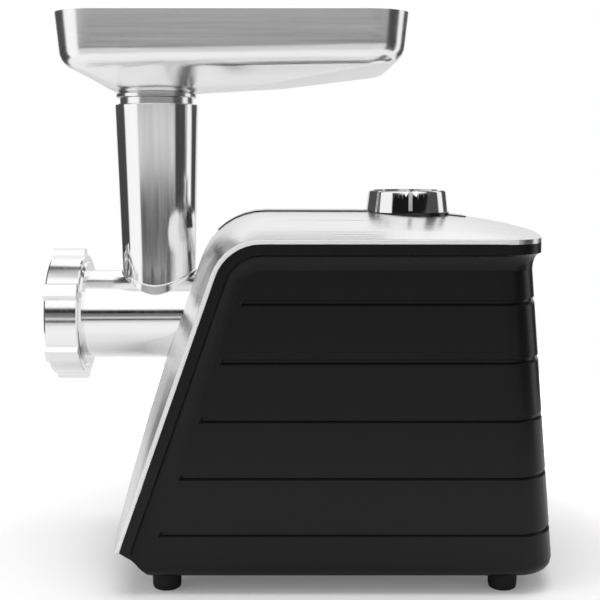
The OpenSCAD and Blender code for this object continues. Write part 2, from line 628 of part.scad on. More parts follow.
module output_gear() {
    color([0.85, 0.85, 0.8]) difference() {
        gear(p_output, x_c, w_c, z_output, m_output, gap_phase(z_output, heading(p_output, p_second)));
        along_x(x_c - e) cylinder(r = out_r, h = w_c + 2 * e, $fn = round_fn);
    }
}
tang = 12;
tang_slip = 0.15;
tang_len = 12;
module output_shaft() {
    color("gray") difference() {
        union() {
            along_x(x_case + 0.5) cylinder(r = out_r, h = x_c + w_c - x_case - 0.5, $fn = round_fn);
            along_x(x_c + w_c - e) cylinder(r = out_tail_r, h = x_shaft_end - x_c - w_c, $fn = 48);
        }
        translate([x_case, -tang / 2 - tang_slip, axis_z - tang / 2 - tang_slip])
            cube([tang_len + 1.5, tang + 2 * tang_slip, tang + 2 * tang_slip]);
    }
}
module second_gear() {
    color([0.9, 0.88, 0.8]) difference() {
        union() {
            gear(p_second, x_b, w_b, z_second, m_second, gap_phase(z_second, heading(p_second, p_first)));
            gear(p_second, x_c, w_c + 1.8 + e, z_pinion, m_output, heading(p_second, p_output));
        }
        along_x(x_c - e, p_second[1], p_second[0]) cylinder(r = mid_r, h = 60, $fn = 48);
    }
}
module first_gear() {
    color([0.92, 0.9, 0.84]) difference() {
        union() {
            gear(p_first, x_a, w_a, z_first, m_first, gap_phase(z_first, heading(p_first, p_motor)));
            gear(p_first, x_b, w_b + 1.8 + e, z_pinion, m_second, heading(p_first, p_second));
        }
        along_x(x_b - e, p_first[1], p_first[0]) cylinder(r = mid_r, h = 60, $fn = 48);
    }
}
module mid_shaft(p, x0) {
    color("gray") along_x(x0, p[1], p[0]) cylinder(r = mid_r, h = x_shaft_end - x0, $fn = 48);
}
module second_shaft() { mid_shaft(p_second, x_case + 1.5); }
module first_shaft() { mid_shaft(p_first, x_case + 1.5); }

// The case: an upper box round the output gear, a lower box round the others
module case_boxes(x0, x1, g) {
    wide = tip_output + g;
    translate([x0, -wide, p_second[1]]) cube([x1 - x0, 2 * wide, axis_z + wide - p_second[1]]);
    translate([x0, -wide, z_case_low - g])
        cube([x1 - x0, p_second[0] + tip_second + g + wide, axis_z - 4 - z_case_low + 2 * g]);
}
socket_len = 16;
socket_r = barrel_r + 4.4;
// Pillars of the base plate: [x, y, length, top]
case_feet = [for (s = [-1, 1]) [x_case + 12, s * 24, 14, z_case_low - 3]];
damper_t = 3;
damper_foot = [x_stator + stator_len / 2 - 2, 0, 14, p_motor[1] - stator_r - damper_t];
lid_screws = [for (s = [-1, 1]) each [[s * (tip_output - 2.2), axis_z + tip_output - 2.2],
    [s < 0 ? -tip_output + 2.2 : p_second[0] + tip_second - 2.2, z_case_low + 2.2]]];
mid_shafts = [[p_second, x_c], [p_first, x_b]]; // each shaft's place, and where its gears begin
screw_hole = 1.5;
module gearbox_case() {
    color([0.7, 0.71, 0.73]) difference() {
        union() {
            difference() {
                case_boxes(x_case, x_lid, 3);
                case_boxes(x_in, x_lid + 1, 0);
            }
            along_x(x_case - socket_len) cylinder(r = socket_r, h = socket_len + e, $fn = round_fn);
            along_x(x_in - e) cylinder(r = out_bush_r + 3, h = x_c - 1 - x_in, $fn = round_fn);
            for (m = mid_shafts) along_x(x_in - e, m[0][1], m[0][0])
                cylinder(r = mid_bush_r + 2, h = m[1] - 1 - x_in, $fn = 48);
            for (p = lid_screws) along_x(x_in - e, p[1], p[0])
                cylinder(r = 3.4, h = x_lid - x_in + e, $fn = 32);
        }
        along_x(x_case - socket_len - e)
            cylinder(r = barrel_r + slip, h = socket_len + e, $fn = round_fn);
        along_x(x_case - 1) cylinder(r = out_bush_r, h = 30, $fn = round_fn);
        for (m = mid_shafts) along_x(x_case + 1, m[0][1], m[0][0])
            cylinder(r = mid_bush_r, h = 30, $fn = 48);
        for (f = case_feet) translate([f[0], f[1], f[3] - 1]) cylinder(r = screw_r + 0.2, h = 8, $fn = 24);
        for (p = lid_screws) along_x(x_lid - 9, p[1], p[0]) cylinder(r = screw_hole, h = 12, $fn = 24);
        translate([x_blade - 0.6, 20, button_z - blade_w / 2 - 0.6])
            cube([x_case - x_blade + 0.6, 20, blade_w + 1.2]);
    }
}
module gearbox_cover() {
    bosses = concat([[p_output, out_tail_r + 2.5]], [for (m = mid_shafts) [m[0], mid_bush_r]]);
    color([0.66, 0.67, 0.69]) difference() {
        union() {
            case_boxes(x_lid, x_lid + lid_t, 3);
            for (b = bosses) along_x(x_lid + e, b[0][1], b[0][0])
                cylinder(r = b[1] + 2, h = lid_t + lid_boss - e, $fn = 48);
        }
        for (b = bosses) along_x(x_lid - e, b[0][1], b[0][0])
            cylinder(r = b[1], h = lid_t + lid_boss - 1 + e, $fn = 48);
        for (p = lid_screws) along_x(x_lid - 1, p[1], p[0])
            cylinder(r = screw_hole + 0.3, h = lid_t + 2, $fn = 24);
        along_x(x_lid - 1, p_motor[1]) cylinder(r = 8, h = lid_t + 2, $fn = 48);
    }
}
module gearbox_screws() {
    color("silver") {
        for (p = lid_screws) along_x(x_lid + lid_t, p[1], p[0]) rotate([180, 0, 0])
            screw(screw_hole, 10, head_r, 2);
        for (f = case_feet) translate([f[0], f[1], f[3] + 3]) rotate([180, 0, 0])
            screw(screw_r, 13, head_r, 2);
    }
}
module output_bush() {
    color([0.75, 0.6, 0.3]) along_x(x_case) ring(out_bush_r, out_r + running, x_c - 1 - x_case);
}
module shaft_bushes() {
    depth = lid_t + lid_boss - 1;
    color([0.75, 0.6, 0.3]) {
        for (m = mid_shafts) {
            along_x(x_case + 1, m[0][1], m[0][0]) ring(mid_bush_r, mid_r + running, m[1] - 2 - x_case);
            along_x(x_lid, m[0][1], m[0][0]) ring(mid_bush_r, mid_r + running, depth);
        }
        along_x(x_lid, axis_z) ring(out_tail_r + 2.5, out_tail_r + running, depth);
    }
}

// ---- motor ----
bearing_r = 11;
bearing_w = 7;
coil_len = 6;
fan_len = 10;
comm_r = 11;
comm_len = 14;
x_fan = motor_x0 + bearing_w + 2;
x_coil_end = x_stator + stator_len;
x_comm = x_coil_end + coil_len + 4;
x_rear = x_comm + comm_len + 3;
bolt_y = stator_r - 4.6;
bolt_r = 2;
air_gap = 0.6; // between armature and core
bore_motor = 22;
coil_r = stator_r - 6;
fan_r = 26;
spigot_out = 20; // ring that seats the motor on the gearbox
spigot_in = 15;
bracket_t = 4;
brush_w = 6;
brush_wall = 1.5;
brush_len = 14;
motor_r = 4;
module at_motor(x) { along_x(x, p_motor[1]) children(); }
module motor_shaft() {
    color("gray") {
        gear(p_motor, x_a - 0.6, w_a + 1.2, z_motor, m_first, heading(p_motor, p_first));
        at_motor(x_a + w_a + 0.5) cylinder(r = motor_r, h = x_rear + 5 - x_a - w_a - 0.5, $fn = 48);
    }
}
module armature() {
    color([0.45, 0.42, 0.4]) at_motor(x_stator) difference() {
        union() {
            cylinder(r = bore_motor - air_gap, h = stator_len, $fn = round_fn);
            translate([0, 0, -coil_len - 1])
                cylinder(r = bore_motor - 5, h = stator_len + 2 * coil_len + 2, $fn = round_fn);
        }
        translate([0, 0, -8]) cylinder(r = motor_r, h = stator_len + 20, $fn = 48);
        for (k = [0:11]) rotate([0, 0, 30 * k]) translate([bore_motor - 4, -0.8, -1])
            cube([6, 1.6, stator_len + 2]);
    }
}
module commutator() {
    color([0.72, 0.45, 0.2]) at_motor(x_comm) difference() {
        cylinder(r = comm_r, h = comm_len, $fn = round_fn);
        translate([0, 0, -1]) cylinder(r = motor_r, h = comm_len + 2, $fn = 48);
        for (k = [0:11]) rotate([0, 0, 30 * k]) translate([comm_r - 1.2, -0.3, -1])
            cube([3, 0.6, comm_len - 2]);
    }
}
module cooling_fan() {
    color([0.2, 0.2, 0.22]) at_motor(x_fan) difference() {
        union() {
            cylinder(r = fan_r, h = 1.6, $fn = round_fn);
            cylinder(r = 8, h = fan_len, $fn = 48);
            for (k = [0:8]) rotate([0, 0, 40 * k]) translate([7, -0.8, 0])
                cube([fan_r - 8, 1.6, fan_len - 1]);
        }
        translate([0, 0, -1]) cylinder(r = motor_r, h = fan_len + 4, $fn = 48);
    }
}
module bolt_spots() { for (s = [-1, 1]) translate([0, s * bolt_y, 0]) children(); }
module stator_core() {
    color([0.5, 0.5, 0.52]) at_motor(x_stator) difference() {
        cylinder(r = stator_r, h = stator_len, $fn = round_fn);
        translate([0, 0, -1]) cylinder(r = bore_motor, h = stator_len + 2, $fn = round_fn);
        bolt_spots() translate([0, 0, -1]) cylinder(r = bolt_r, h = stator_len + 2, $fn = 24);
    }
}
module field_coils() {
    color([0.7, 0.38, 0.16]) for (x = [x_stator - coil_len, x_coil_end]) at_motor(x) difference() {
        cylinder(r = coil_r, h = coil_len, $fn = round_fn);
        translate([0, 0, -1]) cylinder(r = bore_motor + 1, h = coil_len + 2, $fn = round_fn);
        for (s = [-1, 1]) translate([-6, s * coil_r - 12, -1]) cube([12, 24, coil_len + 2]);
    }
}
// A bearing bracket: a disc with a bearing seat, vents and two pillars towards the core
module bracket(h, seat) {
    difference() {
        union() {
            cylinder(r = stator_r - 1, h = bracket_t, $fn = round_fn);
            translate([0, 0, seat]) cylinder(r = bearing_r + 3, h = bearing_w + 1.5, $fn = 48);
            bolt_spots() cylinder(r = 4.4, h = h, $fn = 32);
        }
        translate([0, 0, -10]) cylinder(r = motor_r + 2, h = 40, $fn = 48);
        translate([0, 0, seat - 0.1]) cylinder(r = bearing_r, h = bearing_w + 0.1, $fn = 48);
        bolt_spots() translate([0, 0, -1]) cylinder(r = bolt_r, h = h + 2, $fn = 24);
        for (a = [45:90:315]) rotate([0, 0, a]) translate([24, 0, -1]) cylinder(r = 6, h = 6, $fn = 32);
    }
}
module motor_front_bracket() {
    color([0.62, 0.63, 0.65]) {
        at_motor(motor_x0) bracket(x_stator - motor_x0, 0);
        at_motor(x_lid + lid_t) ring(spigot_out, spigot_in, motor_x0 - x_lid - lid_t + e);
    }
}
module motor_rear_bracket() {
    color([0.62, 0.63, 0.65]) at_motor(x_rear) mirror([0, 0, 1]) translate([0, 0, -bracket_t])
        bracket(x_rear + bracket_t - x_coil_end, -2);
}
module motor_bearings() {
    color("silver") for (x = [motor_x0, x_rear + bracket_t + 2 - bearing_w]) at_motor(x)
        ring(bearing_r, motor_r + running, bearing_w);
}
module brush_holders() {
    w = brush_w + 2 * brush_wall;
    color([0.8, 0.65, 0.3]) for (s = [-1, 1])
        translate([x_comm + 3, s * (comm_r + 3 + brush_len / 2) - brush_len / 2, p_motor[1] - w / 2])
            difference() {
                cube([x_rear - x_comm - 3, brush_len, w]);
                translate([brush_wall, -1, brush_wall]) cube([brush_w, brush_len + 2, brush_w]);
            }
}
module carbon_brushes() {
    color([0.1, 0.1, 0.1]) for (s = [-1, 1])
        translate([x_comm + 3 + brush_wall, s * (comm_r + 0.4 + brush_len / 2) - brush_len / 2,
            p_motor[1] - brush_w / 2]) cube([brush_w, brush_len, brush_w]);
}
module motor_bolts() {
    color("silver") at_motor(x_rear + bracket_t) bolt_spots() rotate([180, 0, 0])
        screw(bolt_r, x_rear + bracket_t - motor_x0, 3.6, 2.6);
}
module motor_damper() {
    f = damper_foot;
    color([0.05, 0.05, 0.05]) difference() {
        translate([f[0] - f[2] / 2, -12, f[3]]) cube([f[2], 24, damper_t + 3]);
        at_motor(f[0] - 10) cylinder(r = stator_r, h = 20, $fn = round_fn);
    }
}

// ---- release button ----
blade_in = 2.2; // how far the blade reaches into the barrel's notch
button_travel = blade_in + 1.3;
blade_t = 2;
blade_w = 4;
stem_r = 3.6;
x_barrel_end = x_case - 5.5;
x_blade = x_barrel_end - blade_in;
x_guide_end = x_case - 10;
guide_floor = 2;
spring_rest = 2.5; // room that the spring keeps when the button is pressed in
x_cap_back = x_guide_end - guide_floor - button_travel - spring_rest;
x_guide = x_cap_back - 2;
function panel_at(y, z) = x_front + lean_x(z) - crown * bulge_low(z) * across(y) / cos(front_lean);
module release_button() {
    face = panel_at(button_y, button_z) - 9;
    tip_y = sqrt(pow(barrel_r, 2) - pow(axis_z - button_z + blade_w / 2, 2)) - 1.4;
    color([0.08, 0.08, 0.08]) {
        along_x(face, button_z, button_y) rotate_extrude($fn = 64)
            polygon([[0, 0], [button_r - 1.4, 0], [button_r - 0.4, 0.4], [button_r, 1.4],
                [button_r, x_cap_back - face], [0, x_cap_back - face]]);
        along_x(x_cap_back - e, button_z, button_y)
            cylinder(r = stem_r, h = x_blade + blade_t - x_cap_back, $fn = 48);
        translate([x_blade, tip_y, button_z - blade_w / 2]) cube([blade_t, button_y - tip_y, blade_w]);
    }
}
module button_guide() {
    color([0.3, 0.3, 0.32]) difference() {
        union() {
            along_x(x_guide, button_z, button_y)
                cylinder(r = button_r + 2.6, h = x_guide_end - x_guide, $fn = 48);
            translate([x_guide + 2, button_y - 6, button_z - button_r - 5])
                cube([x_case - x_guide - 2, 12, 4]);
        }
        along_x(x_guide - 1, button_z, button_y)
            cylinder(r = button_r + running, h = x_guide_end - guide_floor + 1 - x_guide, $fn = 48);
        along_x(x_guide, button_z, button_y) cylinder(r = stem_r + 0.4, h = 30, $fn = 48);
    }
}
module button_spring() {
    coils = 4;
    wire_r = 0.4;
    step = (button_travel + spring_rest - 2 * wire_r) / (coils - 1);
    color("silver") for (k = [0:coils - 1]) along_x(x_cap_back + wire_r + k * step, button_z, button_y)
        rotate_extrude($fn = 48) translate([(button_r + stem_r) / 2, 0]) circle(r = wire_r, $fn = 16);
}

// ---- grinding head ----
x_tube = x_nut + tube_back;
z_mouth = axis_z + tube_h;
nut_lip = 3;
x_plate = x_nut + nut_lip + 0.3;
x_mouth = x_plate + 1.7;
x_seat = x_plate + plate_t + 0.3;
thread_end = 1.4; // rounded shoulder that the nut leaves bare
x_thread_end = x_nut + nut_len + thread_end;
rear_wall = 8;
bore_r = barrel_r - barrel_t;
journal_r = 9;
lug_start = 28; // angle of the first lug, from the right-hand side upwards
module head_barrel() {
    color([0.8, 0.8, 0.8]) difference() {
        union() {
            along_x(x_mouth) cylinder(r = barrel_r, h = x_barrel_end - x_mouth, $fn = round_fn);
            along_x(x_mouth) cylinder(r = thread_r, h = x_thread_end - thread_end - x_mouth, $fn = round_fn);
            along_x(x_thread_end - thread_end - e)
                cylinder(r1 = thread_r, r2 = thread_r - 1.6, h = thread_end + e, $fn = round_fn);
        }
        along_x(x_mouth - e) cylinder(r = plate_r + slip, h = x_seat - x_mouth + e, $fn = round_fn);
        along_x(x_mouth) cylinder(r = bore_r, h = x_barrel_end - rear_wall - x_mouth, $fn = round_fn);
        along_x(x_mouth) cylinder(r = journal_r + running, h = 200, $fn = round_fn);
        for (x = [x_mouth + 2.4:thread_pitch:x_thread_end - thread_end - 1.6]) along_x(x)
            ring(thread_r + 1, thread_r - 0.8, 1.2);
        translate([x_tube, 0, axis_z]) cylinder(r = tube_low_r - tube_t, h = barrel_r + 5, $fn = round_fn);
        along_x(x_mouth - e, axis_z - plate_r) cylinder(r = key_r, h = x_seat - x_mouth + e, $fn = 24);
        translate([x_blade - 0.3, 20, button_z - blade_w / 2 - 0.4]) cube([20, 20, blade_w + 0.8]);
    }
}
key_r = 1.6;
module plate_key() {
    color("gray") along_x(x_mouth + 0.4, axis_z - plate_r)
        cylinder(r = key_r, h = x_seat - x_mouth - 0.4, $fn = 24);
}
module feed_tube() {
    z0 = axis_z + 5;
    color([0.8, 0.8, 0.8]) difference() {
        translate([x_tube, 0, 0]) rotate_extrude($fn = round_fn) polygon([
            [tube_low_r - tube_t, z0], [tube_low_r, z0],
            [tube_low_r, axis_z + barrel_r], [tube_top_r, z_mouth - 0.6], [tube_top_r - 0.6, z_mouth],
            [tube_top_r - tube_t + 0.4, z_mouth], [tube_top_r - tube_t, z_mouth - 0.6],
            [tube_low_r - tube_t, axis_z + barrel_r]]);
        along_x(x_nut) cylinder(r = barrel_r, h = 200, $fn = round_fn);
    }
}
module ring_nut() {
    back = 0.9;
    lug = [[nut_r - 2, -lug_w / 2 - 0.8], [nut_r + lug_h - 0.8, -lug_w / 2 + 0.4],
        [nut_r + lug_h, -lug_w / 2 + 1.2], [nut_r + lug_h, lug_w / 2 - 1.2],
        [nut_r + lug_h - 0.8, lug_w / 2 - 0.4], [nut_r - 2, lug_w / 2 + 0.8]];
    color([0.82, 0.82, 0.83]) along_x(x_nut) difference() {
        union() {
            rotate_extrude($fn = 96) polygon([[0, 0], [nut_r - 1, 0], [nut_r, 1], [nut_r, nut_len - back],
                [nut_r - back, nut_len], [0, nut_len]]);
            for (k = [0:lug_n - 1]) rotate([0, 0, -90 - lug_start - k * 360 / lug_n])
                linear_extrude(nut_len - 0.4) polygon(lug);
        }
        translate([0, 0, nut_lip]) cylinder(r = thread_r + slip, h = nut_len, $fn = round_fn);
        translate([0, 0, -1]) cylinder(r = plate_r - 2.6, h = nut_len, $fn = round_fn);
    }
}
hole_rings = [[5, 9], [11, 15.4], [16, 21], [21, 26.4]]; // [number of holes, radius of their circle]
pin_r = 4;
module cutting_plate() {
    color([0.6, 0.6, 0.62]) along_x(x_plate) difference() {
        cylinder(r = plate_r, h = plate_t, $fn = round_fn);
        translate([0, 0, -1]) cylinder(r = pin_r + running, h = plate_t + 2, $fn = 48);
        for (c = hole_rings, k = [0:c[0] - 1]) rotate([0, 0, k * 360 / c[0]]) translate([c[1], 0, -1])
            cylinder(r = plate_hole_r, h = plate_t + 2, $fn = 24);
        translate([plate_r, 0, -1]) cylinder(r = key_r + 0.3, h = plate_t + 2, $fn = 24);
    }
}
knife_square = 9;
module knife() {
    color([0.55, 0.55, 0.58]) along_x(x_seat) difference() {
        union() {
            cylinder(r = 9, h = knife_t, $fn = 48);
            for (k = [0:3]) rotate([0, 0, 90 * k]) linear_extrude(knife_t)
                polygon([[0, -4.5], [14, -4], [bore_r - 1.2, 0.5], [bore_r - 1.6, 4.5], [12, 3.6], [0, 4.5]]);
        }
        translate([-knife_square / 2, -knife_square / 2, -1]) cube([knife_square, knife_square, knife_t + 2]);
    }
}
core_r = 11;
washer_t = 2.2;
flight_t = 5;
module auger() {
    x0 = x_seat + knife_t;
    x1 = x_barrel_end - rear_wall - washer_t - 0.4;
    r1 = bore_r - 0.5;
    half = 180 * flight_t / auger_pitch;
    turn = 360 * (x1 - x0) / auger_pitch;
    outline = concat([for (i = [0:5]) let (a = half * (2 * i / 5 - 1)) r1 * [cos(a), sin(a)]],
        [for (i = [0:12]) let (a = half + 8 + (344 - 2 * half) * i / 12) core_r * [cos(a), sin(a)]]);
    color([0.75, 0.75, 0.76]) {
        along_x(x0) linear_extrude(x1 - x0, twist = -turn, slices = ceil(turn / 14)) polygon(outline);
        translate([x_seat - e, -knife_square / 2, axis_z - knife_square / 2])
            cube([knife_t + 2 * e, knife_square, knife_square]);
        along_x(x_plate + 0.3) cylinder(r = pin_r, h = x_seat - x_plate - 0.3, $fn = 48);
        along_x(x1 - e) cylinder(r = journal_r, h = x_barrel_end - x1, $fn = round_fn);
        translate([x_barrel_end - 2 * e, -tang / 2, axis_z - tang / 2])
            cube([x_case + 0.5 + tang_len - x_barrel_end, tang, tang]);
    }
}
module thrust_washer() {
    color([0.9, 0.9, 0.85]) along_x(x_barrel_end - rear_wall - washer_t - 0.4)
        ring(20, journal_r + 0.02, washer_t);
}

// ---- food tray ----
z_rim = z_mouth + tray_rise;
tray_draft = 2;
tray_x0 = x_tube - tray_front;
// The spigot is held where it ends, by the tube's taper
function tube_in_r(h) = tube_low_r - tube_t
    + (tube_top_r - tube_low_r) * (h - barrel_r) / (tube_h - barrel_r);
spigot_r = tube_in_r(tube_h - spigot_len) - slip;
z_throat = z_mouth + 7.1;
bead_r = spigot_r + 2.2;
bead_h = 3.2;
floor_sag = 2; // how far the floor hangs under a straight line to the throat
// Points round a rounded rectangle that is inset from the tray's rim
tray_corners = [[-1, -1, 180], [1, -1, 270], [1, 1, 0], [-1, 1, 90]];
side_steps = [8, 4, 8, 4];
function tray_ring(inset) = let (r = tray_corner - inset, hx = tray_len / 2 - tray_corner,
    hy = tray_w / 2 - tray_corner, cx = tray_x0 + tray_len / 2, n = 6)
    [for (q = [0:3]) let (c = tray_corners[q], d = tray_corners[(q + 1) % 4],
        m = [for (i = [0:n]) let (a = c[2] + 90 * i / n) [cx + c[0] * hx, c[1] * hy] + r * [cos(a), sin(a)]],
        last = m[n], next = [cx + d[0] * hx, d[1] * hy] + r * [cos(d[2]), sin(d[2])])
        each concat(m, [for (i = [1:side_steps[q] - 1]) last + (next - last) * i / side_steps[q]])];
tray_line = tray_ring(0);
function tray_level(z, x) = z + tray_slope * ((x - tray_x0) / tray_len - 0.5);
function throat_ring(r, z) = [for (p = tray_line) let (a = atan2(p[1], p[0] - x_tube))
    [x_tube + r * cos(a), r * sin(a), z]];
bend_steps = 5;
bend_in = tray_draft + tray_bend;
bend_line = tray_ring(bend_in);
throat_line = throat_ring(spigot_r + 1, z_throat);
// Half way down the floor, at each point of the outline
mid_line = [for (j = [0:len(tray_line) - 1]) let (p = bend_line[j], q = throat_line[j],
    z = tray_level(z_rim - tray_wall - tray_bend, p[0])) [(p[0] + q[0]) / 2, (p[1] + q[1]) / 2,
        (z + z_throat) / 2 - floor_sag]];
// The angle at which the bend runs out into the floor
bend_end = [for (j = [0:len(tray_line) - 1]) let (p = bend_line[j], q = mid_line[j],
    reach = norm([q[0] - p[0], q[1] - p[1]]), drop = tray_level(z_rim - tray_wall, p[0]) - q[2])
    180 - atan2(drop, reach) - acos(tray_bend / norm([reach, drop]))];
function bend_spot(j, a, r) = let (t = 1 - r * cos(a) / bend_in,
    p = tray_line[j] * (1 - t) + bend_line[j] * t)
    [p[0], p[1], tray_level(z_rim - tray_wall - r * sin(a), p[0])];
function tray_rings(t) = concat(
    [[for (p = tray_ring(t)) [p[0], p[1], z_rim]]],
    [for (i = [0:bend_steps]) [for (j = [0:len(tray_line) - 1])
        bend_spot(j, bend_end[j] * i / bend_steps, tray_bend - t)]],
    [[for (p = mid_line) p + [0, 0, t]]],
    [throat_ring(spigot_r + 1 - t, z_throat + t), throat_ring(spigot_r + 0.6 - t, z_throat - 1.6)]);
module tray_pan() {
    outer = tray_rings(0);
    inner = tray_rings(tray_t);
    n = len(tray_line);
    m = len(outer);
    q = m * n;
    sides = [for (i = [0:m - 2], j = [0:n - 1]) let (a = i * n + j, b = i * n + (j + 1) % n)
        each [[a, b, b + n], [a, b + n, a + n]]];
    ends = [for (j = [0:n - 1]) let (k = (j + 1) % n, b = (m - 1) * n)
        each [[k, j, j + q], [k, j + q, k + q],
            [b + j, b + k, b + k + q], [b + j, b + k + q, b + j + q]]];
    polyhedron([for (r = outer) each r, for (r = inner) each r],
        concat(sides, [for (f = sides) [for (k = reversed(f)) k + q]], ends), convexity = 8);
}
module food_tray() {
    bore = spigot_r - tray_t;
    color([0.78, 0.78, 0.78]) {
        tray_pan();
        translate([x_tube, 0, 0]) rotate_extrude($fn = round_fn) polygon([
            [bore, z_throat], [spigot_r + 0.8, z_throat], [bead_r, z_throat - 0.7],
            [bead_r, z_throat - bead_h + 0.6], [bead_r - 0.7, z_throat - bead_h],
            [spigot_r, z_throat - bead_h],
            [spigot_r, z_mouth - spigot_len + 1], [spigot_r - 0.5, z_mouth - spigot_len],
            [bore, z_mouth - spigot_len]]);
    }
}

top_cover();
control_strip();
housing_right();
housing_left();
base_plate();
feet();
base_screws();
cover_screws();
cord_gland();
knob_shell();
knob_bezel();
knob_pointer();
switch_shaft();
rotary_switch();
control_board();
board_screws();
capacitor();
release_button();
button_guide();
button_spring();
gearbox_case();
gearbox_cover();
gearbox_screws();
output_bush();
shaft_bushes();
output_shaft();
output_gear();
second_gear();
second_shaft();
first_gear();
first_shaft();
motor_shaft();
armature();
commutator();
cooling_fan();
stator_core();
field_coils();
motor_front_bracket();
motor_rear_bracket();
motor_bearings();
brush_holders();
carbon_brushes();
motor_bolts();
motor_damper();
head_barrel();
feed_tube();
plate_key();
ring_nut();
cutting_plate();
knife();
auger();
thrust_washer();
food_tray();
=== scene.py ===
import bpy
import json
import math
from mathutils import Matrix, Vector


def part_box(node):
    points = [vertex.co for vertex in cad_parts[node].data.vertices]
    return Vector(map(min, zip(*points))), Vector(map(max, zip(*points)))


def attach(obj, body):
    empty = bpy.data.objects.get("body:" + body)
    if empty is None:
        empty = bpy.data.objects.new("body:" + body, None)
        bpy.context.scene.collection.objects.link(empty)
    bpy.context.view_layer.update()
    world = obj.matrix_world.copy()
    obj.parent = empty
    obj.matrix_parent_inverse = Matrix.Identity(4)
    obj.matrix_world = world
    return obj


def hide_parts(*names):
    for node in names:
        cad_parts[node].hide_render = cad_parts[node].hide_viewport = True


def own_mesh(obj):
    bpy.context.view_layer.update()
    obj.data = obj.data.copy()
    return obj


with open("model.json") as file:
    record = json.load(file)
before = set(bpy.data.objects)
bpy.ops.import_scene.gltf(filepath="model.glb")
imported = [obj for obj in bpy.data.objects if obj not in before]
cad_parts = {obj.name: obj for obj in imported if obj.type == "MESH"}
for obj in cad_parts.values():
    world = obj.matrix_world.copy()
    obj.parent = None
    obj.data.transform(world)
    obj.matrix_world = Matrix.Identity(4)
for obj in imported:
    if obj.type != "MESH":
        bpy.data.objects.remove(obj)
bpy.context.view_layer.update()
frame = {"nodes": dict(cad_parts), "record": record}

nodes = frame["nodes"]
record = frame["record"]
slots = {part["node"]: part["material_slot"] for part in record["subparts"]}
home = {name: body for body, held in record["behaviour"]["bodies"].items() for name in held}
MM = 0.001


# ---- shader maths ----
class Value:
    """A shader value. Sums on it add their Math nodes."""

    def __init__(self, graph, socket):
        self.graph = graph
        self.socket = socket

    def math(self, operation, *terms):
        return self.graph.node("ShaderNodeMath", {"operation": operation}, *terms)

    def __add__(self, other):
        return self.math("ADD", self, other)

    def __radd__(self, other):
        return self.math("ADD", other, self)

    def __sub__(self, other):
        return self.math("SUBTRACT", self, other)

    def __rsub__(self, other):
        return self.math("SUBTRACT", other, self)

    def __mul__(self, other):
        return self.math("MULTIPLY", self, other)

    def __rmul__(self, other):
        return self.math("MULTIPLY", other, self)

    def rise(self, start, end):
        """0 before start, 1 after end, and smooth between them."""
        return self.graph.node("ShaderNodeMapRange", {"interpolation_type": "SMOOTHSTEP"}, self, start, end)

    def band(self, start, end, soft):
        """1 between start and end, and 0 outside."""
        return self.rise(start - soft, start + soft) - self.rise(end - soft, end + soft)

    def most(self, other):
        return self.math("MAXIMUM", self, other)

    def towards(self, other, share):
        """This value where the share is 0, and the other where it is 1."""
        return self + share * (other - self)


class Graph:
    """A node tree that nodes are added to."""

    def __init__(self, tree):
        self.tree = tree

    def put(self, socket, value):
        if isinstance(value, Value):
            self.tree.links.new(value.socket, socket)
        else:
            socket.default_value = value

    def node(self, kind, settings=None, *inputs, out=0, **named):
        n = self.tree.nodes.new(kind)
        for key, value in (settings or {}).items():
            setattr(n, key, value)
        for i, value in enumerate(inputs):
            self.put(n.inputs[i], value)
        for name, value in named.items():
            self.put(n.inputs[name.replace("_", " ")], value)
        return Value(self, n.outputs[out])

    def parts(self, vector):
        """The x, y and z of a vector."""
        split = self.node("ShaderNodeSeparateXYZ", {}, vector).socket.node
        return [Value(self, split.outputs[i]) for i in range(3)]


class Finish(Graph):
    """A material, and the nodes that feed its shader."""

    def __init__(self, name, **fixed):
        self.material = bpy.data.materials.new(name)
        self.material.use_nodes = True
        super().__init__(self.material.node_tree)
        self.shader = self.tree.nodes["Principled BSDF"]
        self.place = self.node("ShaderNodeTexCoord", out="Object")
        self.feed(**fixed)

    def feed(self, **named):
        for name, value in named.items():
            self.put(self.shader.inputs[name.replace("_", " ")], value)
        return self

    def fed(self, name):
        """What already feeds the shader's socket of this name."""
        return Value(self, self.shader.inputs[name].links[0].from_socket)

    def tint(self, mask, a, b):
        """The colour a where the mask is 0, and b where it is 1."""
        mix = self.node("ShaderNodeMix", {"data_type": "RGBA"}, out=2)
        inputs = mix.socket.node.inputs
        self.put(inputs[0], mask)
        self.put(inputs[6], a if isinstance(a, Value) else (*a, 1))
        self.put(inputs[7], b if isinstance(b, Value) else (*b, 1))
        return mix

    def noise(self, scale, stretch=(1, 1, 1), detail=3.0, roughness=0.55):
        spread = self.node("ShaderNodeVectorMath", {"operation": "MULTIPLY"}, self.place, stretch)
        return self.node("ShaderNodeTexNoise", {}, Vector=spread, Scale=scale, Detail=detail,
                         Roughness=roughness)

    def bump(self, height, strength, depth):
        self.feed(Normal=self.node("ShaderNodeBump", {}, Height=height, Strength=strength, Distance=depth))


# ---- finishes ----
def shade(grey):
    return (grey, grey, grey)


def brushed(name, grey, rough, stretch, grain=520.0, depth=0.4, spread=0.05):
    """Metal with fine lines. They run along the axis whose stretch is small."""
    f = Finish(name, Metallic=1.0)
    lines = f.noise(grain, stretch, 4.0, 0.6)
    broad = f.noise(14.0, stretch, 2.0)
    f.feed(Base_Color=f.tint(lines, shade(grey - spread), shade(grey + spread)),
           Roughness=rough + 0.16 * (lines - 0.5) + 0.08 * (broad - 0.5))
    f.bump(lines, depth, 0.04 * MM)
    return f


def polished(name, colour, rough, smear=0.06, metal=1.0):
    """A smooth finish with faint smears."""
    f = Finish(name, Metallic=metal)
    cloud = f.noise(34.0, detail=4.0)
    dark = tuple(c * 0.93 for c in colour)
    f.feed(Base_Color=f.tint(cloud, dark, colour), Roughness=rough + smear * (cloud - 0.5))
    f.bump(f.noise(900.0), 0.06, 0.02 * MM)
    return f


